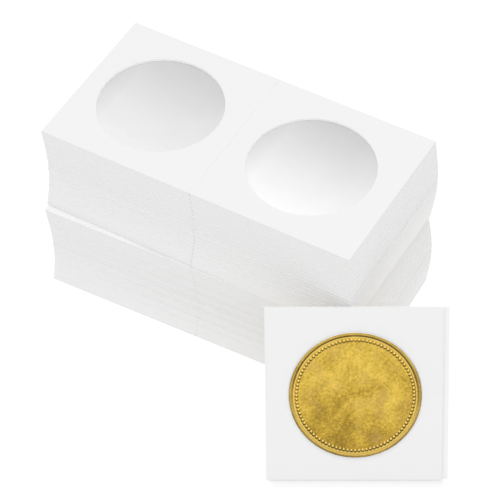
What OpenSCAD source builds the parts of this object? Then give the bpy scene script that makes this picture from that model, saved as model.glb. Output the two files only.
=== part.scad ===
// Pack of two-leaf card coin flips, with one flip folded round a coin.
//
// Each flip is a strip of white card with two round windows and a pressed fold between them.
// A sheet of clear film covers the inner side. Two bundles of flat flips lie one on the other,
// film side down. The topmost flip lifts off and its long leaf swings up about the fold. One more
// flip, folded shut round a coin, stands on its lower edge and leans on a corner of the pile.
//
// The origin is the middle of the pile's underside. X runs along the strips, Y along the folds
// and Z up. The units are millimetres.

/* [Flip strip] */
// Short leaf, from the strip's end to the fold
short_leaf_l = 49.2; // [47.6:0.1:50]
// Long leaf, from the strip's end to the fold
long_leaf_l = 50.8; // [50.2:0.1:54]
// Width of the strip, which is the height of a folded flip
strip_w = 50.8; // [46:0.1:56]
// Thickness of the card
card_t = 0.56; // [0.4:0.01:0.8]
// Thickness of the clear film
film_t = 0.05; // [0.03:0.01:0.08]
// Width of the pressed fold
fold_w = 0.8; // [0.5:0.05:1.2]
// Depth of the fold's groove in the outer side
score_depth = 0.12; // [0.05:0.01:0.3]
// Thickness of the web of card left in a working fold
web_t = 0.2; // [0.1:0.01:0.3]
// How far each window lies past the middle of the shorter leaf, away from the fold
window_shift = 0.2; // [0:0.1:0.6]

/* [Pile] */
// Flips in each bundle
bundle_count = 50; // [10:5:60]
// Sideways bow of a bundle, where the middle flips have slid along
bow = 1.5; // [0:0.1:3]
// Turn of the lower bundle's topmost flip, in degrees
lower_twist = -0.6; // [-1.5:0.1:1.5]
// Shift of the lower bundle's topmost flip along the strips
lower_drift_x = -0.2; // [-1:0.1:1]
// Shift of the upper bundle's lowest flip along the strips
upper_shift_x = 0.1; // [-1:0.1:1]
// Shift of the upper bundle's lowest flip across the strips
upper_shift_y = 0.6; // [0:0.1:3]
// Turn of the upper bundle's lowest flip, in degrees
upper_turn = -2.1; // [-3:0.1:2]
// Further shift of the topmost flip along the strips
upper_drift_x = 0.2; // [-1:0.1:1]
// Further shift of the topmost flip across the strips
upper_drift_y = 1.1; // [0:0.1:2]
// Further turn of the topmost flip, in degrees
upper_twist = 0.1; // [-1.5:0.1:1.5]
// Most that a flip lies out of line with its neighbours
jog = 0.06; // [0:0.01:0.2]
// How far the middle flip of each bundle is pushed in from the right end
stray_shift = 0.35; // [0:0.05:0.6]

/* [Coin] */
// Diameter of the coin
coin_d = 36.9; // [30:0.1:38]
// Thickness of the coin over its rims
coin_t = 2.6; // [1.8:0.1:3.2]
// Width of the outer rim
rim_w = 0.85; // [0.6:0.05:1.2]
// Depth of the field below the rim
field_depth = 0.45; // [0.42:0.01:0.6]
// Width of the groove inside the rim
rim_groove_w = 0.3; // [0.2:0.05:0.5]
// Width of the low band that carries the beads
band_w = 0.5; // [0.3:0.05:0.8]
// Drop of the low band below the rim
band_drop = 0.2; // [0.1:0.01:0.3]
// Radius of one bead
bead_r = 0.4; // [0.3:0.01:0.42]
// Beads in the ring
bead_count = 96; // [60:2:96]
// Bevel round the coin's edge
coin_bevel = 0.2; // [0.1:0.05:0.3]

/* [Folded flip] */
// Space between the two films where they lie flat
pocket_gap = 0.2; // [0.1:0.05:0.6]
// Clearance between coin, film and window edge
coin_clear = 0.05; // [0.03:0.01:0.1]
// Lean of the folded flip, back from upright, in degrees
lean = 32; // [20:1:45]
// Turn of the folded flip round the vertical, in degrees
yaw = 27.3; // [20:0.1:40]
// Clearance where its top edge rests on the pile's corner
seat_gap = 0.15; // [0.1:0.05:0.4]
// Where the corner meets the top edge, as a share of the long leaf from the fold
corner_share = 0.47; // [0.3:0.01:0.6]

/* [Hidden] */
// Facets round a window, and round the coin
window_facets = 96;
coin_facets = 96;
// Facets round a bead of the coin, and round a working fold
bead_facets = 16;
fold_facets = 32;
// Clearance between a fold's axis and the leaves beside it
axis_clear = 0.05;
// Space between the beads and the low band
bead_gap = 0.05;
// How far a cut runs past what it cuts
overrun = 0.5;
// Share of the rim groove's width that its sloping wall takes
groove_wall_share = 0.33;
// Share of a bead's radius that the low band's sloping edge takes
band_edge_share = 0.5;
// Angles that deal out the flips' uneven places, along and across the strips
jog_angle_x = 223;
jog_angle_y = 151;
// Flips in one packet, which is one node
packet_count = 5;
packets = bundle_count / packet_count;

flip_t = card_t + film_t;
strip_l = short_leaf_l + long_leaf_l;
fold_x = short_leaf_l - strip_l / 2;
fold_half = fold_w / 2;
window_to_fold = min(short_leaf_l, long_leaf_l) / 2 + window_shift;
coin_r = coin_d / 2;
pocket_r = coin_r + coin_clear;
window_r = pocket_r + film_t + coin_clear;
bundle_h = bundle_count * flip_t;
folded_t = 2 * flip_t + pocket_gap;
pocket_floor = folded_t / 2 - coin_t / 2 - coin_clear;
crease_r = fold_half - axis_clear;

packet_names = [for (side = ["lower", "upper"], kind = ["cards", "films"], k = [1:packets])
    str(side, "_", kind, "_", k < 10 ? "0" : "", k)];

// Places in the pile

// b is 0 for the lower bundle and 1 for the upper one. Flip i lies at the bottom where i is 0.
function height_share(i) = i / (bundle_count - 1);
// The topmost and the lowest flip of a bundle lie true, and the others a little out of line
function uneven(i, angle) = jog * sin(i * angle) * sin(180 * height_share(i));
// The bundle bows in half a sine wave, and its middle flip is pushed in
function slide_x(i) = bow * sin(180 * height_share(i)) + uneven(i, jog_angle_x)
    - (i == floor(bundle_count / 2) ? stray_shift : 0);
function flip_x(b, i) = slide_x(i) + (b == 0
    ? lower_drift_x * height_share(i)
    : upper_shift_x + upper_drift_x * height_share(i));
function flip_y(b, i) = uneven(i, jog_angle_y) + b * (upper_shift_y + upper_drift_y * height_share(i));
function flip_z(b, i) = b * bundle_h + i * flip_t;
function turn(b, i) = b == 0
    ? lower_twist * height_share(i)
    : upper_turn + upper_twist * height_share(i);

module place_flip(b, i) {
    translate([flip_x(b, i), flip_y(b, i), flip_z(b, i)])
        rotate([0, 0, turn(b, i)])
            children();
}

// Flip pieces, lying flat on the film with the middle of the strip at the origin

module windows() {
    for (side = [-1, 1])
        translate([fold_x + side * window_to_fold, 0])
            circle(r = window_r, $fn = window_facets);
}

module strip_outline(x_from, x_to) {
    translate([x_from, -strip_w / 2])
        square([x_to - x_from, strip_w]);
}

// The fold is a groove pressed into the outer side, which faces up
module score_groove() {
    translate([fold_x, strip_w / 2 + overrun, flip_t])
        rotate([90, 0, 0])
            linear_extrude(strip_w + 2 * overrun)
                polygon([[-fold_half, 0], [0, -score_depth], [fold_half, 0], [0, overrun]]);
}

module card_piece(x_from, x_to) {
    translate([0, 0, film_t])
        linear_extrude(card_t)
            difference() {
                strip_outline(x_from, x_to);
                windows();
            }
}

module film_piece(x_from, x_to) {
    linear_extrude(film_t)
        strip_outline(x_from, x_to);
}

module whole_card() {
    difference() {
        card_piece(-strip_l / 2, strip_l / 2);
        score_groove();
    }
}

module whole_film() {
    film_piece(-strip_l / 2, strip_l / 2);
}

// The topmost flip is separate pieces, so its place in the last packet stays empty
function packet_top(b, k) = k * packet_count - 1 - (b == 1 && k == packets ? 1 : 0);

module card_packet(b, k) {
    color("white")
        for (i = [(k - 1) * packet_count : packet_top(b, k)])
            place_flip(b, i)
                whole_card();
}

module film_packet(b, k) {
    color("lightcyan", 0.4)
        for (i = [(k - 1) * packet_count : packet_top(b, k)])
            place_flip(b, i)
                whole_film();
}

// Topmost flip, whose long leaf swings up about an axis just above the fold

module place_top_flip() {
    place_flip(1, bundle_count - 1)
        children();
}

module top_short_leaf() {
    color("white")
        place_top_flip()
            card_piece(-strip_l / 2, fold_x - fold_half);
}

module top_short_film() {
    color("lightcyan", 0.4)
        place_top_flip()
            film_piece(-strip_l / 2, fold_x - fold_half);
}

module top_long_leaf() {
    color("white")
        place_top_flip()
            card_piece(fold_x + fold_half, strip_l / 2);
}

module top_long_film() {
    color("lightcyan", 0.4)
        place_top_flip()
            film_piece(fold_x + fold_half, strip_l / 2);
}

module top_fold() {
    color("whitesmoke")
        place_top_flip()
            translate([fold_x - fold_half, -strip_w / 2, 0])
                cube([fold_w, strip_w, web_t]);
}

// Corner of the pile that the folded flip leans on

// Right front corner of a flip, seen from above
function corner(b, i) =
    let (a = turn(b, i), x = strip_l / 2, y = -strip_w / 2)
    [flip_x(b, i) + x * cos(a) - y * sin(a), flip_y(b, i) + x * sin(a) + y * cos(a)];
// Level directions out of the folded flip's face and along its lower edge
facing = [sin(yaw), -cos(yaw)];
along = [cos(yaw), sin(yaw)];
top_edge_z = strip_w * cos(lean);
top_edge_run = strip_w * sin(lean);
// How far each flip's corner stands out towards the sloping back of the folded flip
function reach(b, i) =
    corner(b, i) * facing - max(0, top_edge_z - flip_z(b, i) - flip_t) * tan(lean);
reaches = [for (b = [0, 1], i = [0:bundle_count - 1]) if (flip_z(b, i) < top_edge_z) reach(b, i)];
corner_reach = max(reaches);
corner_index = min(bundle_count - 1, max(0, floor((top_edge_z - bundle_h) / flip_t)));
rest_along = corner(1, corner_index) * along - corner_share * long_leaf_l;
rest_out = corner_reach + seat_gap + top_edge_run;
holder_base = [
    facing[0] * rest_out + along[0] * rest_along,
    facing[1] * rest_out + along[1] * rest_along
];

// Folded flip, built upright: X from the fold, Z up, its back on the plane y = 0

module place_holder() {
    translate([holder_base[0], holder_base[1], 0])
        rotate([0, 0, yaw])
            rotate([-lean, 0, 0])
                children();
}

// An extrusion of an outline in the XZ plane, from a depth behind the back towards the viewer
module upright(depth, thickness) {
    translate([0, -depth, 0])
        rotate([90, 0, 0])
            linear_extrude(thickness)
                children();
}

module leaf_outline(leaf_l) {
    translate([fold_half, 0])
        square([leaf_l - fold_half, strip_w]);
}

module window_outline(r) {
    translate([window_to_fold, strip_w / 2])
        circle(r = r, $fn = window_facets);
}

module holder_card(leaf_l) {
    upright(0, card_t)
        difference() {
            leaf_outline(leaf_l);
            window_outline(window_r);
        }
}

// Film on the inner side of a leaf, pressed back through the window over the coin
module pocket_film(leaf_l) {
    upright(card_t, film_t)
        difference() {
            leaf_outline(leaf_l);
            window_outline(pocket_r);
        }
    upright(pocket_floor - film_t, film_t)
        window_outline(pocket_r + film_t);
    upright(pocket_floor, card_t - pocket_floor)
        difference() {
            window_outline(pocket_r + film_t);
            window_outline(pocket_r);
        }
}

// The front leaf mirrors the rear one about the middle of the folded flip
module mirrored_to_front() {
    translate([0, -folded_t, 0])
        mirror([0, 1, 0])
            children();
}

module holder_rear_leaf() {
    color("white")
        place_holder()
            holder_card(long_leaf_l);
}

module holder_rear_film() {
    color("lightcyan", 0.4)
        place_holder()
            pocket_film(long_leaf_l);
}

module holder_front_leaf() {
    color("white")
        place_holder()
            mirrored_to_front()
                holder_card(short_leaf_l);
}

module holder_front_film() {
    color("lightcyan", 0.4)
        place_holder()
            mirrored_to_front()
                pocket_film(short_leaf_l);
}

// Bead of card fibres along the inside of the working fold
module holder_fold() {
    color("whitesmoke")
        place_holder()
            translate([0, -folded_t / 2, 0])
                cylinder(r = crease_r, h = strip_w, $fn = fold_facets);
}

// Coin, a turned blank with a rim, a groove, a low band and a ring of beads on each face

rim_inner_r = coin_r - rim_w;
groove_inner_r = rim_inner_r - rim_groove_w;
band_inner_r = groove_inner_r - band_w;
bead_ring_r = band_inner_r - bead_gap - bead_r;
half_t = coin_t / 2;
field_z = half_t - field_depth;
band_z = half_t - band_drop;

// Half of the coin's section, from the middle plane up to one face
module coin_half_section() {
    polygon([
        [0, 0],
        [coin_r, 0],
        [coin_r, half_t - coin_bevel],
        [coin_r - coin_bevel, half_t],
        [rim_inner_r, half_t],
        [rim_inner_r - rim_groove_w * groove_wall_share, field_z],
        [groove_inner_r, field_z],
        [groove_inner_r, band_z],
        [band_inner_r + bead_r * band_edge_share, band_z],
        [band_inner_r, field_z],
        [0, field_z]
    ]);
}

module bead_ring() {
    for (n = [0:bead_count - 1])
        rotate([0, 0, n * 360 / bead_count])
            translate([bead_ring_r, 0, field_z])
                sphere(r = bead_r, $fn = bead_facets);
}

module coin_half() {
    rotate_extrude($fn = coin_facets)
        coin_half_section();
    bead_ring();
}

module coin() {
    color("goldenrod")
        place_holder()
            translate([window_to_fold, -folded_t / 2, strip_w / 2])
                rotate([90, 0, 0]) {
                    coin_half();
                    mirror([0, 0, 1])
                        coin_half();
                }
}

for (k = [1:packets]) {
    tag = str(k < 10 ? "0" : "", k);
    card_packet(0, k);
    film_packet(0, k);
    card_packet(1, k);
    film_packet(1, k);
}
top_short_leaf();
top_short_film();
top_fold();
top_long_leaf();
top_long_film();
holder_rear_leaf();
holder_rear_film();
holder_fold();
holder_front_leaf();
holder_front_film();
coin();
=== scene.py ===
"""Dresses a pack of card coin flips: two bundles of flat flips and one flip folded round a coin.

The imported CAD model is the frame. Every size here is in metres, in that frame: X runs along the
strips, Y along the folds, Z up, and the origin is the middle of the pile's underside.
"""
import logging
import math
from dataclasses import dataclass
from enum import Enum
from typing import Iterable, NamedTuple, Sequence

import bmesh
import bpy
import numpy as np
from mathutils import Matrix, Vector


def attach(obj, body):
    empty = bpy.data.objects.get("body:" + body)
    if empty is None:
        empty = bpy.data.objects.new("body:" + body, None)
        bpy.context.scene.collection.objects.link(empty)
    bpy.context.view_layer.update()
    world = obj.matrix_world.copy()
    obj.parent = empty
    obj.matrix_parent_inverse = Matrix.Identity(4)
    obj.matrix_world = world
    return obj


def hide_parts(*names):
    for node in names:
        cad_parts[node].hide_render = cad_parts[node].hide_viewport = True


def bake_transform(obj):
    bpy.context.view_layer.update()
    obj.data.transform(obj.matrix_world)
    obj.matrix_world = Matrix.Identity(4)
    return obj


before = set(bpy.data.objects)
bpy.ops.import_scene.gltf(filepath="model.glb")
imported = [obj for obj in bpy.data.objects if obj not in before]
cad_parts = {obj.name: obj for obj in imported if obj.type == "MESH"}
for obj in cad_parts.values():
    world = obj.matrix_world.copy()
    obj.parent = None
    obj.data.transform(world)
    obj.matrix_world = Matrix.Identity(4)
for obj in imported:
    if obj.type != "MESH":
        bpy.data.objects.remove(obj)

LOG = logging.getLogger("coin_flips")
MM = 0.001
SHARP_ANGLE = math.radians(40.0)
WHITE = (1.0, 1.0, 1.0)
UP = np.array([0.0, 0.0, 1.0])
SQUARE_CORNERS = np.array([[1.0, 1.0], [-1.0, 1.0], [-1.0, -1.0], [1.0, -1.0]])
CREASE_STATIONS = 9
CREASE_STEPS = 17

Pair = tuple[float, float]
Span = tuple[float, float, float, float]  # as in Board.span: low, high, to_low and to_high
Point = tuple[float, float, float]
Surface = tuple[np.ndarray, list]
Material = bpy.types.Material
Socket = bpy.types.NodeSocket
Value = Socket | float
Colour = Socket | Point


# Shapes worked out on grids


def strip_faces(rows: int, columns: int) -> np.ndarray:
    """Quads between neighbouring rows of a grid whose columns close into a ring.

    Args:
        rows: How many rings of points there are.
        columns: How many points there are in a ring.

    Returns:
        One row of four point numbers for each face.
    """
    row, column = np.meshgrid(np.arange(rows - 1), np.arange(columns), indexing="ij")
    here = row * columns + column
    beside = row * columns + (column + 1) % columns
    return np.stack([here, beside, beside + columns, here + columns], axis=-1).reshape(-1, 4)


def turned_shell(profile: np.ndarray, centre: Sequence[float], spokes: int) -> Surface:
    """A closed surface of revolution about an upright line.

    A profile point at angle a lies at centre + (radius cos a, radius sin a, height). Each end is
    one pole point with a fan of triangles.

    Args:
        profile: Half section, as (radius, height) points that start and end on the line.
        centre: Where the line stands and what the heights are measured from.
        spokes: Points in each ring.

    Returns:
        The points, and the faces as lists of point numbers.
    """
    angle = np.linspace(0.0, 2.0 * math.pi, spokes, endpoint=False)
    rings = profile[1:-1]
    points = np.stack([
        rings[:, :1] * np.cos(angle),
        rings[:, :1] * np.sin(angle),
        np.repeat(rings[:, 1:], spokes, axis=1),
    ], axis=-1).reshape(-1, 3)
    poles = profile[[0, -1], 1:] * UP
    points = np.vstack([points, poles]) + np.asarray(centre, float)
    first, last = len(points) - 2, len(points) - 1
    lane = np.arange(spokes)
    ahead = (lane + 1) % spokes
    end = (len(rings) - 1) * spokes
    faces = strip_faces(len(rings), spokes).tolist()
    faces += np.stack([np.full(spokes, first), ahead, lane], axis=-1).tolist()
    faces += np.stack([np.full(spokes, last), end + lane, end + ahead], axis=-1).tolist()
    return points, faces


def carried_bar(section: np.ndarray, stations: np.ndarray, across: np.ndarray,
                up: np.ndarray) -> Surface:
    """A closed bar: one section carried along a row of stations.

    Point (u, v) of the section at station s lies at s + u * across + v * up. Both ends are capped.

    Args:
        section: Closed outline of the section, as (u, v) points.
        stations: Places along the bar.
        across: Direction of u.
        up: Direction of v.

    Returns:
        The points, and the faces as lists of point numbers.
    """
    count = len(section)
    ring = section[:, :1] * across + section[:, 1:] * up
    points = (stations[:, None, :] + ring[None, :, :]).reshape(-1, 3)
    faces = strip_faces(len(stations), count).tolist()
    faces.append(list(range(count))[::-1])
    faces.append(list(range((len(stations) - 1) * count, len(stations) * count)))
    return points, faces


def add_object(name: str, data: bpy.types.ID) -> bpy.types.Object:
    """Links a new object with that data into the scene."""
    thing = bpy.data.objects.new(name, data)
    bpy.context.scene.collection.objects.link(thing)
    return thing


def new_piece(name: str, parts: Iterable[Surface], smooth: bool = True) -> bpy.types.Object:
    """Puts one or more computed surfaces into a mesh object at the origin.

    Args:
        name: Name of the piece.
        parts: Points and faces of each surface.
        smooth: Whether the faces are shaded smooth, but for edges sharper than SHARP_ANGLE.

    Returns:
        The new object, whose faces point outwards.
    """
    points, faces, start = [], [], 0
    for these, those in parts:
        points.append(these)
        faces += [[start + n for n in face] for face in those]
        start += len(these)
    mesh = bpy.data.meshes.new(name)
    mesh.from_pydata(np.vstack(points).tolist(), [], faces)
    mesh.update()
    mesh.polygons.foreach_set("use_smooth", np.full(len(mesh.polygons), smooth))
    piece = add_object(name, mesh)
    whole = bmesh.new()
    whole.from_mesh(mesh)
    bmesh.ops.recalc_face_normals(whole, faces=whole.faces[:])
    whole.to_mesh(mesh)
    whole.free()
    if smooth:
        mesh.set_sharp_from_angle(angle=SHARP_ANGLE)
    return piece


def level_axes(turn: float) -> tuple[np.ndarray, np.ndarray]:
    """Level directions along and across a strip that is turned so many degrees."""
    angle = math.radians(turn)
    return (np.array([math.cos(angle), math.sin(angle), 0.0]),
            np.array([-math.sin(angle), math.cos(angle), 0.0]))


@dataclass(frozen=True)
class FlipSizes:
    """Sizes that every flip shares, as the CAD source has them.

    Attributes:
        short_leaf: Short leaf, from the strip's end to the fold.
        long_leaf: Long leaf, from the strip's end to the fold.
        width: Width of the strip.
        card: Thickness of the card.
        film: Thickness of the film.
        fold_width: Width of the pressed fold.
        groove: Depth of the fold's groove.
        window_radius: Radius of a window.
        window_to_fold: Distance from the fold to a window's middle.
    """

    short_leaf: float = 49.2 * MM
    long_leaf: float = 50.8 * MM
    width: float = 50.8 * MM
    card: float = 0.56 * MM
    film: float = 0.05 * MM
    fold_width: float = 0.8 * MM
    groove: float = 0.16 * MM
    window_radius: float = 18.6 * MM
    window_to_fold: float = 24.8 * MM

    @property
    def thickness(self) -> float:
        """Thickness of an open flip, card and film together."""
        return self.card + self.film

    @property
    def fold_x(self) -> float:
        """Place of the fold along the strip, from the strip's middle."""
        return (self.short_leaf - self.long_leaf) / 2

    def window_middles(self, base: Point, turn: float) -> tuple[Point, ...]:
        """Middles of a flat flip's two windows, halfway up the card.

        Args:
            base: Middle of the strip's underside.
            turn: Turn of the flip, in degrees.

        Returns:
            The left and the right middle.
        """
        middle = np.array(base) + UP * self.thickness / 2
        along, _ = level_axes(turn)
        return tuple(tuple(middle + along * (self.fold_x + side * self.window_to_fold))
                     for side in (-1, 1))


SIZES = FlipSizes()


# Finishes


class Grain(NamedTuple):
    """Size of a noise's features in metres, and Blender's detail and roughness of it."""

    size: float
    detail: float = 2.0
    roughness: float = 0.5


class Board:
    """Wires the nodes of one material. Its methods take and give output sockets."""

    def __init__(self, name: str, inputs: dict | None = None) -> None:
        """Starts an empty material with an output and a shader with those inputs."""
        self.material = bpy.data.materials.new(name)
        self.material.use_nodes = True
        self.tree = self.material.node_tree
        self.tree.nodes.clear()
        self.shader = self.add("BsdfPrincipled", inputs)
        self.add("OutputMaterial", {"Surface": self.shader.outputs[0]})

    def add(self, kind: str, inputs: dict | None = None, **settings: object) -> bpy.types.Node:
        """Adds a node.

        Args:
            kind: Blender's name for the kind of node, without the word ShaderNode.
            inputs: What its inputs get, by name or number.
            **settings: Values of the node's own properties.

        Returns:
            The new node.
        """
        node = self.tree.nodes.new("ShaderNode" + kind)
        for key, value in settings.items():
            setattr(node, key, value)
        self.feed(node, inputs or {})
        return node

    def feed(self, node: bpy.types.Node, inputs: dict) -> None:
        """Links a node's inputs to sockets, or sets them to values."""
        for key, value in inputs.items():
            if isinstance(value, Socket):
                self.tree.links.new(value, node.inputs[key])
            else:
                node.inputs[key].default_value = value

    def paint(self, **inputs: Value) -> None:
        """Feeds the shader. An underscore in a name stands for a space."""
        self.feed(self.shader, {name.replace("_", " "): value for name, value in inputs.items()})

    def place(self, **mapping: Point) -> Socket:
        """Object coordinates, through a Mapping node with those inputs."""
        coordinates = self.add("TexCoord").outputs["Object"]
        return self.add("Mapping", {"Vector": coordinates, **mapping}).outputs[0]

    def seen_from(self, origin: Sequence[float], turn: Matrix) -> Socket:
        """Object coordinates in the axes of a body, from its origin and the turn into its axes."""
        offset = -(turn @ Vector(origin))
        return self.place(Location=tuple(offset), Rotation=tuple(turn.to_euler("XYZ")))

    def noise(self, vector: Socket, grain: Grain) -> Socket:
        """Noise of that grain."""
        inputs = {"Vector": vector, "Scale": 1.0 / grain.size, "Detail": grain.detail,
                  "Roughness": grain.roughness}
        return self.add("TexNoise", inputs).outputs[0]

    def distance(self, vector: Socket, point: Point = (0.0, 0.0, 0.0)) -> Socket:
        """Distance of a vector from a point."""
        return self.add("VectorMath", {0: vector, 1: point}, operation="DISTANCE").outputs["Value"]

    def split(self, vector: Socket) -> tuple[Socket, Socket, Socket]:
        """X, Y and Z of a vector."""
        return tuple(self.add("SeparateXYZ", {0: vector}).outputs)

    def flat(self, x: Socket, y: Socket) -> Socket:
        """The vector (x, y, 0)."""
        return self.add("CombineXYZ", {"X": x, "Y": y}).outputs[0]

    def math(self, operation: str, *values: Value) -> Socket:
        """A Math node over the values."""
        return self.add("Math", dict(enumerate(values)), operation=operation).outputs[0]

    def times(self, first: Value, *others: Value) -> Socket:
        """Product of the values."""
        for other in others:
            first = self.math("MULTIPLY", first, other)
        return first

    def span(self, value: Socket, low: float, high: float, to_low: float = 0.0,
             to_high: float = 1.0) -> Socket:
        """Maps value from the span low..high to the span to_low..to_high, and holds it there."""
        inputs = {"Value": value, "From Min": low, "From Max": high, "To Min": to_low,
                  "To Max": to_high}
        return self.add("MapRange", inputs).outputs[0]

    def ramp(self, value: Socket, stops: Sequence[tuple[float, Point]]) -> Socket:
        """A colour ramp over a value, from the positions and colours of its stops in order."""
        node = self.add("ValToRGB", {0: value})
        elements = node.color_ramp.elements
        while len(elements) < len(stops):
            elements.new(0.5)
        for element, (position, colour) in zip(elements, stops):
            element.position = position
            element.color = (*colour, 1.0)
        return node.outputs[0]

    def mix(self, share: Value, first: Colour, second: Colour) -> Socket:
        """The colour that lies that share of the way from the first to the second."""
        ends = (c if isinstance(c, Socket) else (*c, 1.0) for c in (first, second))
        inputs = dict(zip((0, 6, 7), (share, *ends)))
        return self.add("Mix", inputs, data_type="RGBA").outputs[2]

    def between(self, share: Socket, first: Value, second: Value) -> Socket:
        """The number that lies that share of the way from the first to the second."""
        return self.add("Mix", {0: share, 2: first, 3: second}).outputs[0]

    def squareness(self, facing: Point) -> Socket:
        """How squarely a flat face looks along facing, in the object's axes, or against it."""
        own = self.add("VectorTransform", {0: self.add("NewGeometry").outputs["True Normal"]},
                       vector_type="NORMAL", convert_from="WORLD", convert_to="OBJECT")
        dot = self.add("VectorMath", {0: own.outputs[0], 1: facing}, operation="DOT_PRODUCT")
        return self.math("ABSOLUTE", dot.outputs["Value"])

    def bump(self, height: Socket, distance: float, flat: bool = False) -> None:
        """Gives the shader a bump, over the smooth normals or over the faces' flat ones."""
        inputs = {"Distance": distance, "Height": height}
        if flat:
            inputs["Normal"] = self.add("NewGeometry").outputs["True Normal"]
        self.paint(Normal=self.add("Bump", inputs).outputs[0])


def grey(value: float) -> Point:
    """A neutral colour of that linear brightness."""
    return (value, value, value)


@dataclass(frozen=True)
class CardFinish:
    """White coated card with fibrous cut edges.

    Attributes:
        name: Name of the material.
        facing: Direction that the card's coated faces look in, at rest.
        square: How squarely a surface looks so where edges end and where faces begin.
        face: Linear brightness of a coated face.
        edge: Linear brightness of a cut edge.
        tint: Colour of full brightness.
        broad: Grain of a face's broad mottle.
        fine: Grain of its fine mottle.
        mottle: How much both vary the face's brightness.
        fibres: Grain of an edge's fibres.
        drawn: Scale that draws them out along the strip.
        blotch: Grain of an edge's blotches.
        fibre: How much both vary the edge's brightness.
        card_change: Change of tone from card to card, as a share of fibre.
        cover: Height of the bundle's uppermost coated face. The faces below lie between cards.
        cover_edge: How far under cover their brightness ends and the uppermost face's begins.
        covered: Linear brightness of those faces, darkened as painted shade; they show only as
            hairlines on the sides.
        margin: Depth of the uppermost face's front margin, darkened as painted shade.
        margin_full: Share of that depth that is darkened in full.
        margin_x: Where along X the painted shade sets in and where it is full.
        margin_tone: What it leaves of the brightness.
        foot: Height of the bundle's foot, just above which the edges are lighter, as painted light.
        foot_reach: How far above it they are so in full, and not at all.
        foot_tone: How much brighter the painted light makes them there.
        rims: Middles of windows whose cut edges get painted light.
        rim_reach: How far from its middle such an edge lies at most.
        rim_soft: Width over which its brightness ends there.
        rim_tone: Linear brightness of such an edge, with that painted light.
        rough: Roughness of an edge and of a face.
        relief: Shares of the relief's height of an edge's fibres and a face's fine mottle.
        relief_height: Height of the relief.
    """

    name: str
    facing: Point = (0.0, 0.0, 1.0)
    square: Pair = (0.45, 0.7)
    face: float = 0.845
    edge: float = 0.81
    tint: Point = (0.999, 1.0, 1.0)
    broad: Grain = Grain(9 * MM)
    fine: Grain = Grain(0.6 * MM, 3.0, 0.6)
    mottle: float = 0.012
    fibres: Grain = Grain(0.16 * MM, 4.0, 0.7)
    drawn: Point = (0.22, 0.22, 1.0)
    blotch: Grain = Grain(4 * MM, 3.0)
    fibre: float = 0.007
    card_change: float = 0.6
    cover: float = 0.0
    cover_edge: Pair = (0.2 * MM, 0.1 * MM)
    covered: float = 0.9
    margin: float = 0.0
    margin_full: float = 0.6
    margin_x: Pair = (-25 * MM, -14 * MM)
    margin_tone: float = 0.92
    foot: float = -1.0
    foot_reach: Pair = (4 * MM, 18 * MM)
    foot_tone: float = 1.043
    rims: tuple[Point, ...] = ()
    rim_reach: float = 18.8 * MM
    rim_soft: float = 0.1 * MM
    rim_tone: float = 0.99
    rough: Pair = (0.95, 0.62)
    relief: Pair = (0.3, 0.1)
    relief_height: float = 0.05 * MM

    def material(self) -> Material:
        """Makes the card material."""
        b = Board(self.name, {"Specular IOR Level": 0.25})
        spot = b.place()
        fine = b.noise(spot, self.fine)
        fibres = b.noise(b.place(Scale=self.drawn), self.fibres)
        on_face = b.span(b.squareness(self.facing), *self.square)
        tone = b.between(on_face, self._edge_tone(b, spot, fibres), self._face_tone(b, spot, fine))
        b.paint(Base_Color=b.mix(tone, grey(0.0), self.tint),
                Roughness=b.span(on_face, 0.0, 1.0, *self.rough))
        heights = (b.times(noise, share) for noise, share in zip((fibres, fine), self.relief))
        b.bump(b.between(on_face, *heights), self.relief_height)
        return b.material

    def _face_tone(self, b: Board, spot: Socket, fine: Socket) -> Socket:
        """Coated faces' brightness: mottled, with painted shade where covered and on the margin."""
        x, y, z = b.split(spot)
        broad = b.noise(spot, self.broad)
        tone = b.math("MULTIPLY_ADD", broad, self.mottle, self.face - self.mottle)
        tone = b.math("MULTIPLY_ADD", fine, self.mottle, tone)
        # painted shade on the faces under cover, between the cards
        ends = (self.cover - depth for depth in self.cover_edge)
        tone = b.times(tone, b.span(z, *ends, self.covered / self.face, 1.0))
        # painted shade on the front margin, as under the upper bundle's edge
        if self.margin:
            ends = (share * self.margin - SIZES.width / 2 for share in (self.margin_full, 1.0))
            margin_shade = b.times(b.span(x, *self.margin_x), b.span(y, *ends, 1.0, 0.0))
            tone = b.times(tone, b.math("MULTIPLY_ADD", margin_shade, self.margin_tone - 1.0, 1.0))
        return tone

    def _edge_tone(self, b: Board, spot: Socket, fibres: Socket) -> Socket:
        """Cut edges: fibrous, a tone of its own per card, painted light at the foot and window
        rims.
        """
        _, _, z = b.split(spot)
        card_number = b.math("FLOOR", b.math("DIVIDE", z, SIZES.thickness))
        shade = b.add("TexWhiteNoise", {"W": card_number}, noise_dimensions="1D")
        tone = b.math("MULTIPLY_ADD", fibres, 2 * self.fibre, self.edge - 2 * self.fibre)
        tone = b.math("MULTIPLY_ADD", b.noise(spot, self.blotch), self.fibre, tone)
        tone = b.math("MULTIPLY_ADD", shade.outputs[0], self.card_change * self.fibre, tone)
        # painted light on the cut edges just above the bundle's foot
        ends = (self.foot + reach for reach in self.foot_reach)
        tone = b.times(tone, b.span(z, *ends, self.foot_tone, 1.0))
        # painted light on the cut edges round the windows
        for rim in self.rims:
            rim_light = b.span(b.distance(spot, rim), self.rim_reach, self.rim_reach + self.rim_soft,
                           self.rim_tone, 0.0)
            tone = b.math("MAXIMUM", tone, rim_light)
        return tone


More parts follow.
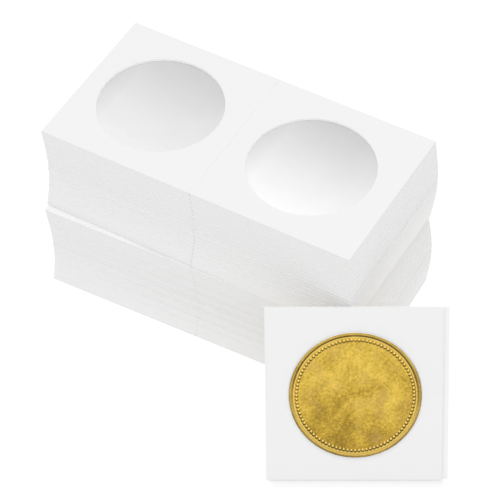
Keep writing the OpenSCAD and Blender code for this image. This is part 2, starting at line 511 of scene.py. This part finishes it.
@dataclass(frozen=True)
class FilmFinish:
    """Clear glossy film, glued to the card round the windows.

    Attributes:
        name: Name of the material.
        windows: Middles of the windows. Round them the card's white shows through the film.
        facing: Direction that the film's surfaces look in, at rest.
        square: As in CardFinish.
        clouding: Share of the light that one surface of the film sends back.
        edge: The same for its cut edge.
        ripples: Grain of its ripples.
        slack: Their height.
        tints: Positions and colours of their tints.
        clear_to: Distance from a window's middle up to which the film is clear.
        glue_edge: Width of the glue's soft edge.
        glued: Linear brightness of the film where it is glued.
    """

    name: str
    windows: tuple[Point, ...]
    facing: Point = (0.0, 0.0, 1.0)
    square: Pair = (0.3, 0.6)
    clouding: float = 0.01
    edge: float = 1.0
    ripples: Grain = Grain(14 * MM, 1.0)
    slack: float = 0.03 * MM
    tints: tuple[tuple[float, Point], ...] = ((0.3, (0.93, 0.96, 0.97)), (0.7, (0.97, 0.98, 0.98)))
    clear_to: float = 18.45 * MM
    glue_edge: float = 0.05 * MM
    glued: float = 0.87

    def material(self) -> Material:
        """Makes the film material."""
        b = Board(self.name, {"Roughness": 0.12, "IOR": 1.6})
        spot = b.place()
        ripples = b.noise(spot, self.ripples)
        b.bump(ripples, self.slack, flat=True)
        alpha = b.span(b.squareness(self.facing), *self.square, self.edge, self.clouding)
        glued = 1.0
        ends = self.clear_to, self.clear_to + self.glue_edge
        for window in self.windows:
            glued = b.math("MINIMUM", glued, b.span(b.distance(spot, window), *ends))
        tint = b.mix(glued, b.ramp(ripples, self.tints), grey(self.glued))
        b.paint(Base_Color=tint, Alpha=b.math("MAXIMUM", alpha, glued))
        return b.material


@dataclass(frozen=True)
class StackedFilmFinish:
    """Milky white of many films behind each other, with painted shade darkest at each window's far
    side.

    Attributes:
        name: Name of the material.
        origin: Middle of the bundle's topmost strip.
        turn: Turn of that strip, in degrees.
        left: Linear brightness, with painted shade, at the near side, middle and far side of the
            left window.
        right: The same for the right window.
        split_half: Half the width over which the left window's brightness turns to the right's.
        end_from: Distance from the windows' middles at which the painted shade on the wells' left
            sides ends.
        end_tone: What the painted shade leaves of the brightness at a window's left side.
        cloud: Grain of the clouding.
        clouds: What it leaves of the brightness.
    """

    name: str
    origin: Point
    turn: float
    left: Point = (0.87, 0.76, 0.59)
    right: Point = (0.99, 0.81, 0.58)
    split_half: float = 5 * MM
    end_from: float = 13.5 * MM
    end_tone: float = 0.89
    cloud: Grain = Grain(6 * MM, 3.0)
    clouds: Span = (0.3, 0.7, 0.99, 1.01)

    def material(self) -> Material:
        """Makes the stacked film material."""
        b = Board(self.name, {"Roughness": 0.55, "Specular IOR Level": 0.2})
        turn = Matrix.Rotation(-math.radians(self.turn), 3, "Z")
        spot = b.seen_from((*self.origin[:2], 0.0), turn)
        x, y, _ = b.split(spot)
        across = b.span(y, -SIZES.window_radius, SIZES.window_radius)
        # painted shade: each window darkens from its near side to its far side
        left, right = (b.ramp(across, list(zip((0.0, 0.5, 1.0), map(grey, tones))))
                       for tones in (self.left, self.right))
        side = b.span(x, -self.split_half, self.split_half)
        # along X from the middle of the window that the point lies in
        own = b.math("ADD", x, SIZES.window_to_fold - SIZES.fold_x)
        own = b.math("MULTIPLY_ADD", side, -2 * SIZES.window_to_fold, own)
        # random clouding, and painted shade at each window's left side
        shade = b.times(b.span(b.noise(spot, self.cloud), *self.clouds),
                        b.span(own, -SIZES.window_radius, -self.end_from, self.end_tone, 1.0))
        tone = b.add("VectorMath", {0: b.mix(side, left, right), "Scale": shade}, operation="SCALE")
        b.paint(Base_Color=tone.outputs[0])
        return b.material


# Rings of the coin's tones: distance from its axis in millimetres, and share of the tone there
EDGE_RING = ((17.5, 0.0), (17.65, 0.7), (17.9, 0.5), (18.2, 0.2), (18.45, 0.0))
GROOVE_RING = ((17.2, 0.0), (17.3, 1.0), (17.7, 1.0), (17.85, 0.0))
BEAD_ZONE = ((15.4, 0.0), (15.6, 1.0), (16.95, 1.0), (17.15, 0.0))
BAND_RINGS = ((16.7, 0.0), (16.85, 0.75), (17.2, 0.75), (17.3, 0.0), (17.7, 0.0), (17.9, 0.3),
              (18.2, 0.0))


@dataclass(frozen=True)
class BrassFinish:
    """Worn struck brass: mottled field, polish on high rings, painted shade and highlight in low
    rings.

    Attributes:
        name: Name of the material.
        centre: Middle of the coin at rest.
        axes: The coin's own axes at rest: along the strip, up the flip and out of the face.
        radius: Radius of the coin.
        bead_ring: Radius of the ring that the beads stand on.
        bead_count: Beads in the ring.
        bead: Radius of a bead.
        patches: Grain of the field's patches.
        specks: Grain of its specks.
        gold: Stops of its colours, from dark to light.
        fall: What the height on the coin adds to the blend of patches and specks: painted shade,
            darker at the foot.
        warmth: Grain of its warm areas.
        warmed: Share of the warm colour there.
        warm: That colour.
        grain: Grain of the wear.
        worn: Roughness of the worn brass.
        relief: Height of the wear's relief.
        dark: Dark colour of the coin's edge, and of the painted shade in the groove.
        upper: Share of that painted shade in the groove, over the height on the coin.
        lit: Colour of the groove where it catches the light.
        lower: Share of it in the groove, over the height on the coin.
        polish_and_highlight: Colour of the band's polish and of the painted highlight on the beads'
            upper sides.
        rubbed: What the wear leaves of it.
        raised: How far up from a bead its painted highlight's disc lies.
        top: Share of painted highlight on it, over the distance from its middle in bead radii.
        bead_shadow: Colour of the painted shadow below the beads.
        lowered: How far up from a bead its painted shadow's disc lies.
        below: Share of painted shadow on it, over the distance from its middle.
        beside: Share of that painted shadow that the highlight's disc leaves.
    """

    name: str
    centre: Point
    axes: tuple[Point, ...]
    radius: float = 18.45 * MM
    bead_ring: float = 16.35 * MM
    bead_count: int = 96
    bead: float = 0.4 * MM
    patches: Grain = Grain(7 * MM, 4.0, 0.6)
    specks: Grain = Grain(0.8 * MM, 4.0, 0.7)
    gold: tuple[tuple[float, Point], ...] = (
        (0.36, (0.34, 0.205, 0.020)), (0.46, (0.53, 0.345, 0.032)),
        (0.54, (0.73, 0.495, 0.062)), (0.64, (0.90, 0.640, 0.110)))
    fall: Span = (0.1, 0.9, -0.05, 0.09)
    warmth: Grain = Grain(5 * MM, 3.0)
    warmed: Span = (0.5, 0.72, 0.0, 0.45)
    warm: Point = (0.62, 0.40, 0.11)
    grain: Grain = Grain(0.35 * MM, 4.0, 0.65)
    worn: Span = (0.3, 0.7, 0.42, 0.62)
    relief: float = 0.03 * MM
    dark: Point = (0.16, 0.085, 0.012)
    upper: Span = (0.5, 0.7, 0.0, 0.8)
    lit: Point = (1.0, 0.80, 0.24)
    lower: Span = (0.5, 0.3, 0.0, 0.85)
    polish_and_highlight: Point = (1.0, 0.78, 0.21)
    rubbed: Span = (0.3, 0.6, 0.6, 1.0)
    raised: float = 0.1 * MM
    top: Span = (0.5, 1.0, 1.0, 0.0)
    bead_shadow: Point = (0.12, 0.06, 0.005)
    lowered: float = -0.3 * MM
    below: Span = (0.95, 1.35, 0.95, 0.0)
    beside: Span = (0.75, 1.05, 0.0, 1.0)

    def material(self) -> Material:
        """Makes the brass material."""
        b = Board(self.name, {"Metallic": 0.75})
        spot = b.seen_from(self.centre, Matrix(self.axes))
        x, y, _ = b.split(spot)
        from_axis = b.distance(b.flat(x, y))
        height = b.span(y, -self.radius, self.radius)
        grain = b.noise(spot, self.grain)
        colour = self._toned(b, from_axis, height, self._field(b, spot, height))
        b.paint(Base_Color=self._polish_and_bead_light(b, (x, y), from_axis, grain, colour),
                Roughness=b.span(grain, *self.worn))
        b.bump(grain, self.relief)
        return b.material

    def _rings(self, b: Board, from_axis: Socket, stops: Sequence[Pair]) -> Socket:
        """A grey ramp over the distance from the axis, whose stops are in millimetres."""
        share = b.math("DIVIDE", from_axis, self.radius)
        return b.ramp(share, [(place * MM / self.radius, grey(tone)) for place, tone in stops])

    def _bead_distance(self, b: Board, x: Socket, y: Socket, raised: float) -> Socket:
        """Distance from the nearest bead's middle, in bead radii, with the beads raised that far.

        The angle round the coin is cut into a step for each bead, as long as the ring's pitch.
        """
        y = b.math("SUBTRACT", y, raised)
        steps = b.times(b.math("ARCTAN2", y, x), self.bead_count / (2.0 * math.pi))
        pitch = 2.0 * math.pi * self.bead_ring / self.bead_count / self.bead
        beside = b.times(b.math("PINGPONG", steps, 0.5), pitch)
        outwards = b.math("MULTIPLY_ADD", b.distance(b.flat(x, y)), 1.0 / self.bead,
                          -self.bead_ring / self.bead)
        return b.distance(b.flat(beside, outwards))

    def _field(self, b: Board, spot: Socket, height: Socket) -> Socket:
        """Mottled gold, with painted shade a little darker at the coin's foot: patches with specks
        over them.
        """
        halves = (b.times(b.noise(spot, grain), 0.5) for grain in (self.patches, self.specks))
        # painted shade: the height on the coin darkens the field towards its foot
        blend = b.math("ADD", b.math("ADD", *halves), b.span(height, *self.fall))
        warm = b.span(b.noise(spot, self.warmth), *self.warmed)
        return b.mix(warm, b.ramp(blend, self.gold), self.warm)

    def _toned(self, b: Board, from_axis: Socket, height: Socket, colour: Socket) -> Socket:
        """Darkens the edge, and paints shade into the groove's upper half and a highlight into its
        lower.
        """
        colour = b.mix(self._rings(b, from_axis, EDGE_RING), colour, self.dark)
        groove = self._rings(b, from_axis, GROOVE_RING)
        # painted shade in the groove's upper half and painted highlight in its lower half
        for share, tone in ((self.upper, self.dark), (self.lower, self.lit)):
            colour = b.mix(b.times(groove, b.span(height, *share)), colour, tone)
        return colour

    def _polish_and_bead_light(self, b: Board, spot: tuple[Socket, Socket], from_axis: Socket, grain: Socket,
                  colour: Socket) -> Socket:
        """Lightens the band with polish and the beads' upper sides with a painted highlight;
        darkens crescents below.
        """
        low, high = (self._bead_distance(b, *spot, far) for far in (self.lowered, self.raised))
        zone = self._rings(b, from_axis, BEAD_ZONE)
        # painted highlight on the beads' upper sides
        bead_highlights = b.times(b.span(high, *self.top), zone)
        bright = b.math("MAXIMUM", self._rings(b, from_axis, BAND_RINGS), bead_highlights)
        bright = b.times(bright, b.span(grain, *self.rubbed))
        # painted shadow crescents below the beads
        bead_shadow_share = b.times(b.span(low, *self.below), b.span(high, *self.beside), zone)
        return b.mix(bead_shadow_share, b.mix(bright, colour, self.polish_and_highlight), self.bead_shadow)


@dataclass(frozen=True)
class FloorFinish:
    """Plain pale studio floor, partly lit from within.

    So only the shadow in front of the folded flip shows: partly real, partly painted by dimming
    that light.

    Attributes:
        foot: Where the folded flip's crease stands.
        yaw: Turn of its foot round the vertical, in degrees.
        length: Length of its foot.
        name: Name of the material.
        speck: Grain of the floor.
        tones: Its linear brightness.
        glow: Light from within.
        dim: How much less of it there is along the flip's foot, as a painted shadow.
        reach: How far in front of the foot that goes.
        full: Share of it at which the light is dimmed in full.
        soft: Half widths of the dimmed place's soft ends and of its soft back.
    """

    foot: Point
    yaw: float
    length: float
    name: str = "studio_floor"
    speck: Grain = Grain(3 * MM)
    tones: Span = (0.2, 0.8, 0.546, 0.554)
    glow: float = 0.55
    dim: float = 0.2
    reach: float = 8 * MM
    full: float = 0.2
    soft: Pair = (2 * MM, 1.5 * MM)

    def material(self) -> Material:
        """Makes the floor material."""
        b = Board(self.name, {"Roughness": 1.0, "Specular IOR Level": 0.0,
                              "Emission Color": (*WHITE, 1.0)})
        tone = b.span(b.noise(b.place(), self.speck), *self.tones)
        # X along the flip's foot and Y away from its face, both from the crease
        x, y, _ = b.split(b.seen_from(self.foot, Matrix.Rotation(-math.radians(self.yaw), 3, "Z")))
        end, back = self.soft
        # painted shadow: less glow along the front of the folded flip's foot
        shaded = b.times(b.span(x, -end, end),
                         b.span(x, self.length - end, self.length + end, 1.0, 0.0),
                         b.span(y, -self.reach, -self.full * self.reach),
                         b.span(y, -back, back, 1.0, 0.0))
        b.paint(Base_Color=b.mix(tone, grey(0.0), WHITE),
                Emission_Strength=b.math("MULTIPLY_ADD", shaded, -self.dim, self.glow))
        return b.material


def dress(nodes: Iterable[str], material: Material) -> None:
    """Gives CAD nodes a material in their own material slots."""
    for name in nodes:
        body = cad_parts[name]
        if not body.material_slots:
            body.data.materials.append(material)
        for slot in body.material_slots:
            slot.material = material


# Sub-assemblies


class Bundle(Enum):
    """The two bundles of the pile, from the floor up."""

    LOWER = 0
    UPPER = 1


@dataclass(frozen=True)
class PileLay:
    """How the pile's flips lie, as in the CAD source: bowed at mid-height, shifted and turned.

    Attributes:
        count: Flips in a bundle.
        bow: How far the middle flips of a bundle lie along X.
        jog: Largest unevenness.
        jog_angles: Steps of the unevenness along X and Y, in degrees.
        stray: How far the middle flip lies back along X.
        shift: Shift of each bundle's lowest flip.
        drift: Further shift of each bundle's topmost flip.
        turn: Turn of each bundle's lowest flip, in degrees.
        twist: Further turn of each bundle's topmost flip.
    """

    count: int = 50
    bow: float = 1.5 * MM
    jog: float = 0.06 * MM
    jog_angles: Pair = (223.0, 151.0)
    stray: float = 0.35 * MM
    shift: tuple[Pair, Pair] = ((0.0, 0.0), (0.1 * MM, 0.6 * MM))
    drift: tuple[Pair, Pair] = ((-0.2 * MM, 0.0), (0.2 * MM, 1.1 * MM))
    turn: Pair = (0.0, -2.1)
    twist: Pair = (-0.6, 0.1)

    def base(self, bundle: Bundle, flip: int) -> Point:
        """Middle of a flip's underside.

        Args:
            bundle: The flip's bundle.
            flip: The flip's number from the bundle's foot, from zero.

        Returns:
            Its place.
        """
        share = flip / (self.count - 1)
        swell = math.sin(math.pi * share)
        jog_x, jog_y = (self.jog * math.sin(math.radians(flip * step)) * swell
                        for step in self.jog_angles)
        stray = self.stray if flip == self.count // 2 else 0.0
        shift, drift = self.shift[bundle.value], self.drift[bundle.value]
        return (self.bow * swell + jog_x - stray + shift[0] + drift[0] * share,
                jog_y + shift[1] + drift[1] * share,
                (bundle.value * self.count + flip) * SIZES.thickness)

    def angle(self, bundle: Bundle, flip: int) -> float:
        """Turn of a flip, in degrees."""
        return self.turn[bundle.value] + self.twist[bundle.value] * flip / (self.count - 1)


LAY = PileLay()
LAST = LAY.count - 1


@dataclass
class FlipBundle:
    """Fifty flat flips: cards, films, and the milky wells in the windows.

    Attributes:
        bundle: Which of the two bundles it is.
        well_flip: Number of the flip whose windows the wells lie in.
        well_drop: How far the wells' rims lie below that flip's upper face.
        face: Linear brightness of the cards' faces.
        margin: Depth of the uppermost face's margin with painted shade.
        depths: Depth of the left and the right well.
        rim_clearance: Space between a well's rim and its window.
        shell: Thickness of a well's dish.
        rings: Rings of points on each side of the dish.
        spokes: Points in each ring.
        border: Width of the frames that show the replaced films' cut edges.
        packets: Nodes of cards in the bundle, each with as many flips.
        well_packets: Nodes of films that the wells stand for.
    """

    bundle: Bundle
    well_flip: int
    well_drop: float
    face: float
    margin: float = 0.0
    depths: Pair = (4.0 * MM, 4.4 * MM)
    rim_clearance: float = 0.015 * MM
    shell: float = 0.1 * MM
    rings: int = 40
    spokes: int = 96
    border: float = 1.2 * MM
    packets: int = 10
    well_packets: int = 3

    def build(self) -> None:
        """Dresses the bundle's cards and films and adds its wells."""
        name = self.bundle.name.lower()
        lowest = LAY.base(self.bundle, 0)
        top = LAY.base(self.bundle, self.well_flip)
        card = CardFinish(f"{name}_card", face=self.face, cover=top[2] + SIZES.thickness,
                          margin=self.margin, foot=lowest[2]).material()
        under = SIZES.window_middles(lowest, LAY.angle(self.bundle, 0))
        film = FilmFinish(f"{name}_film", under, clouding=0.5).material()
        stacked = StackedFilmFinish(f"{name}_stacked_film", top,
                                    LAY.angle(self.bundle, self.well_flip)).material()
        cards, films = ([f"{name}_{part}_{k:02d}" for k in range(1, self.packets + 1)]
                        for part in ("cards", "films"))
        dress(cards, card)
        dress(films, film)
        kept = self.packets - self.well_packets
        first = kept * LAY.count // self.packets
        borders = [self._border(flip) for flip in range(first, self.well_flip + 1)]
        dishes = [self._well(side, depth) for side, depth in zip((-1, 1), self.depths)]
        wells = new_piece(f"{name}_film_wells", dishes + borders)
        wells.data.materials.append(stacked)
        wells.data.materials.append(film)
        slots = np.zeros(len(wells.data.polygons), dtype=np.int32)
        slots[-sum(len(faces) for _, faces in borders):] = 1
        wells.data.polygons.foreach_set("material_index", slots)
        wells.data.polygons.foreach_set("use_smooth", slots == 0)
        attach(wells, f"{name}_bundle")
        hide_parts(*films[kept:])
        LOG.info("%s bundle: %d packets of cards, wells %s", name, self.packets, wells.name)

    def _border(self, flip: int) -> Surface:
        """The cut edge of one film: a rectangular frame as thick as the film, closed all round."""
        base = np.array(LAY.base(self.bundle, flip))
        along, across = level_axes(LAY.angle(self.bundle, flip))
        outer = np.array([SIZES.short_leaf + SIZES.long_leaf, SIZES.width]) / 2
        halves = np.array([outer, outer - self.border, outer - self.border, outer])
        rings = halves[:, None, :] * SQUARE_CORNERS
        heights = np.array([0.0, 0.0, SIZES.film, SIZES.film])[:, None, None]
        points = base + rings[..., :1] * along + rings[..., 1:] * across + heights * UP
        points = points.reshape(-1, 3)
        # a fifth ring, which is the first one again, closes the frame
        return points, (strip_faces(5, 4) % len(points)).tolist()

    def _well(self, side: int, depth: float) -> Surface:
        """One well, a thin dish that falls with the square of the distance inwards from its rim.

        Height = rim - depth * (1 - (r / R)^2), for radius r up to R. The same curve one shell
        lower closes it.

        Args:
            side: -1 for the left window and 1 for the right one.
            depth: Depth at the middle.

        Returns:
            The points and faces.
        """
        reach = SIZES.window_radius - self.rim_clearance
        share = np.sqrt(np.linspace(0.0, 1.0, self.rings))
        inner = np.stack([reach * share, -depth * (1.0 - share**2)], axis=-1)
        outer = inner[::-1] - np.array([0.0, self.shell])
        along, _ = level_axes(LAY.angle(self.bundle, self.well_flip))
        centre = (np.array(LAY.base(self.bundle, self.well_flip))
                  + along * (SIZES.fold_x + side * SIZES.window_to_fold)
                  + UP * (SIZES.thickness - self.well_drop))
        return turned_shell(np.vstack([inner, outer]), centre, self.spokes)


@dataclass
class TopFlip:
    """The topmost flip, which lifts off and folds up about its crease.

    Attributes:
        base: Middle of the strip's underside.
        turn: Turn of the flip, in degrees.
        bend: Share of the fold's width that bends; not used.
        curve: Power of the groove's curve.
    """

    base: Point = LAY.base(Bundle.UPPER, LAST)
    turn: float = LAY.angle(Bundle.UPPER, LAST)
    bend: float = 0.5
    curve: float = 1.5

    def build(self) -> None:
        """Dresses the leaves and films and makes the crease between them."""
        windows = SIZES.window_middles(self.base, self.turn)
        card = CardFinish("top_card", rims=windows).material()
        dress(["top_short_leaf", "top_long_leaf", "top_fold"], card)
        dress(["top_short_film", "top_long_film"], FilmFinish("top_film", windows).material())
        along, across = level_axes(self.turn)
        fold = np.array(self.base) + along * SIZES.fold_x
        stations = fold + np.linspace(-0.5, 0.5, CREASE_STATIONS)[:, None] * SIZES.width * across
        crease = new_piece("top_crease", [carried_bar(self._section(), stations, along, UP)],
                           smooth=False)
        crease.data.materials.append(card)
        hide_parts("top_fold")
        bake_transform(crease)
        LOG.info("top flip: crease %s", crease.name)

    def _section(self) -> np.ndarray:
        """Section of the crease: an underside level with the cards', and a groove above it.

        The groove's depth is groove * (1 - |u| / half)^curve at the distance u from the fold.
        """
        half = SIZES.fold_width / 2
        u = np.linspace(-half, half, CREASE_STEPS)
        top = SIZES.thickness - SIZES.groove * (1.0 - np.abs(u) / half) ** self.curve
        return np.vstack([np.stack([u, top], axis=-1),
                          np.stack([u[::-1], np.full_like(u, SIZES.film)], axis=-1)])


@dataclass
class FoldedFlip:
    """The flip folded shut round the coin, leaning on the pile's corner.

    Attributes:
        foot: Where the crease's back corner stands.
        yaw: Turn round the vertical, in degrees.
        lean: Lean back from upright, in degrees.
        pocket_gap: Space between the two films.
        inset: How far the crease's outer face lies inside the leaves'.
    """

    foot: Point = (41.910624 * MM, -61.09973 * MM, 0.0)
    yaw: float = 27.3
    lean: float = 32.0
    pocket_gap: float = 0.2 * MM
    inset: float = 0.03 * MM

    @property
    def thickness(self) -> float:
        """Thickness of the folded flip."""
        return 2 * SIZES.thickness + self.pocket_gap

    @property
    def axes(self) -> tuple[np.ndarray, np.ndarray, np.ndarray]:
        """Directions along the strip, up the flip and out of its face."""
        along, back = level_axes(self.yaw)
        lean = math.radians(self.lean)
        return (along, back * math.sin(lean) + UP * math.cos(lean),
                UP * math.sin(lean) - back * math.cos(lean))

    @property
    def coin_centre(self) -> Point:
        """Middle of the coin."""
        along, up, out = self.axes
        return tuple(np.array(self.foot) + along * SIZES.window_to_fold + up * SIZES.width / 2
                     + out * self.thickness / 2)

    def build(self) -> None:
        """Dresses the leaves and films and wraps the crease round the fold."""
        along, up, out = self.axes
        facing = tuple(out)
        # The whiter cut edges and the rear card's whiter face are painted light, against the shade
        # between and beside the leaves.
        card = CardFinish("folded_card", facing, edge=0.95).material()
        rear_card = CardFinish("rear_card", facing, face=0.97, edge=0.95).material()
        film = FilmFinish("folded_film", (self.coin_centre,), facing, clouding=0.005,
                          clear_to=18.5 * MM, glued=0.89).material()
        dress(["holder_front_leaf", "holder_fold"], card)
        dress(["holder_rear_leaf"], rear_card)
        dress(["holder_rear_film", "holder_front_film"], film)
        foot = np.array(self.foot)
        stations = foot + np.linspace(0.0, 1.0, CREASE_STATIONS)[:, None] * SIZES.width * up
        crease = new_piece("folded_crease", [carried_bar(self._section(), stations, along, out)])
        crease.data.materials.append(card)
        edge = foot + along * SIZES.fold_width / 2
        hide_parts("holder_fold")
        tuple(edge + out * self.thickness)
        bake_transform(crease)
        LOG.info("folded flip: crease %s", crease.name)

    def _section(self) -> np.ndarray:
        """Section of the crease: a half ring from the rear card's end to the front card's.

        The outer edge's radius is half the flip's thickness less the inset, and the inner one's is
        a card's thickness less than half the flip's.
        """
        outer = self.thickness / 2 - self.inset
        inner = self.thickness / 2 - SIZES.card
        angle = np.linspace(-math.pi / 2, math.pi / 2, CREASE_STEPS)
        middle = np.array([SIZES.fold_width / 2, self.thickness / 2])
        sweep = np.stack([-np.cos(angle), np.sin(angle)], axis=-1)
        return np.vstack([middle + outer * sweep, (middle + inner * sweep)[::-1]])


@dataclass
class Coin:
    """The coin in the folded flip's pocket."""

    flip: FoldedFlip

    def build(self) -> None:
        """Dresses the coin."""
        axes = tuple(tuple(axis) for axis in self.flip.axes)
        dress(["coin"], BrassFinish("coin_brass", self.flip.coin_centre, axes).material())
        LOG.info("coin dressed")


@dataclass
class Studio:
    """Pale floor, soft light and the camera at the photograph's angle.

    Attributes:
        floor: Finish of the floor.
        azimuth: Camera's turn round the pile from the front, in degrees.
        elevation: Camera's height angle, in degrees.
        roll: Camera's roll, in degrees.
        aside: Where the origin lies from the camera: to the right, up and back.
        lens: Focal length for the sensor's width, both in millimetres.
        sensor: Width of the camera's sensor.
        sky: Strength of the light from all round.
        floor_half: Half the floor's side.
        floor_drop: How far the floor lies under the pile.
    """

    floor: FloorFinish
    azimuth: float = 29.782
    elevation: float = 48.909
    roll: float = -2.0
    aside: Point = (-3.184 * MM, -8.829 * MM, -753.284 * MM)
    lens: float = 180.0
    sensor: float = 36.0
    sky: float = 0.8
    floor_half: float = 1.6
    floor_drop: float = 0.02 * MM

    def build(self) -> None:
        """Makes the floor, the lights and the camera."""
        self._floor()
        self._sky()
        self._lamp("overhead", place=(0.1, -0.17, 1.3), size=0.8, power=4.8)
        self._camera()
        LOG.info("studio ready")

    def _floor(self) -> None:
        """A level square just under the pile."""
        ends = np.column_stack([self.floor_half * SQUARE_CORNERS, np.full(4, -self.floor_drop)])
        mesh = bpy.data.meshes.new("studio_floor")
        mesh.from_pydata(ends.tolist(), [], [[0, 1, 2, 3]])
        floor = add_object("studio_floor", mesh)
        floor.data.materials.append(self.floor.material())

    def _sky(self) -> None:
        """Even white light from all round."""
        world = bpy.data.worlds.new("studio_sky")
        world.use_nodes = True
        background = world.node_tree.nodes["Background"]
        background.inputs["Color"].default_value = (*WHITE, 1.0)
        background.inputs["Strength"].default_value = self.sky
        bpy.context.scene.world = world

    def _lamp(self, name: str, place: Point, size: float, power: float) -> None:
        """Adds a square soft light that looks at the pile."""
        data = bpy.data.lights.new(name, "AREA")
        data.shape = "SQUARE"
        data.size = size
        data.energy = power
        back = np.array(place) / np.linalg.norm(place)
        right = np.cross(UP, back)
        right /= np.linalg.norm(right)
        rows = np.array([right, np.cross(back, right), back])
        add_object(name, data).matrix_world = self._standing(rows, place)

    def _camera(self) -> None:
        """The camera, from the angles and distances that were fitted to the photograph."""
        elevation, roll = math.radians(self.elevation), math.radians(self.roll)
        right, ahead = level_axes(self.azimuth)
        back = UP * math.sin(elevation) - ahead * math.cos(elevation)
        up = np.cross(back, right)
        rows = np.array([
            math.cos(roll) * right + math.sin(roll) * up,
            math.cos(roll) * up - math.sin(roll) * right,
            back,
        ])
        data = bpy.data.cameras.new("camera")
        data.lens = self.lens
        data.sensor_width = self.sensor
        data.clip_start = 10 * MM
        camera = add_object("camera", data)
        camera.matrix_world = self._standing(rows, -rows.T @ np.array(self.aside))
        bpy.context.scene.camera = camera

    @staticmethod
    def _standing(rows: np.ndarray, place: Sequence[float]) -> Matrix:
        """Matrix of an object whose own X, Y and Z point along the rows, at place."""
        whole = np.eye(4)
        whole[:3, :3] = rows.T
        whole[:3, 3] = place
        return Matrix(whole.tolist())


def main() -> None:
    """Builds and dresses every sub-assembly."""
    logging.basicConfig(level=logging.INFO, format="%(name)s: %(message)s")
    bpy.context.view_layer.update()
    bpy.context.scene.view_settings.view_transform = "Standard"
    # The lower bundle's faces are whiter than the upper's, as painted light on the ledge that the
    # upper bundle shades; its margin gets painted shade.
    FlipBundle(Bundle.LOWER, LAST, well_drop=SIZES.card, face=0.9, margin=3 * MM).build()
    FlipBundle(Bundle.UPPER, LAST - 1, well_drop=0.02 * MM, face=CardFinish.face).build()
    TopFlip().build()
    folded = FoldedFlip()
    folded.build()
    Coin(folded).build()
    Studio(FloorFinish(folded.foot, folded.yaw, SIZES.long_leaf)).build()


if __name__ == "__main__":
    main()
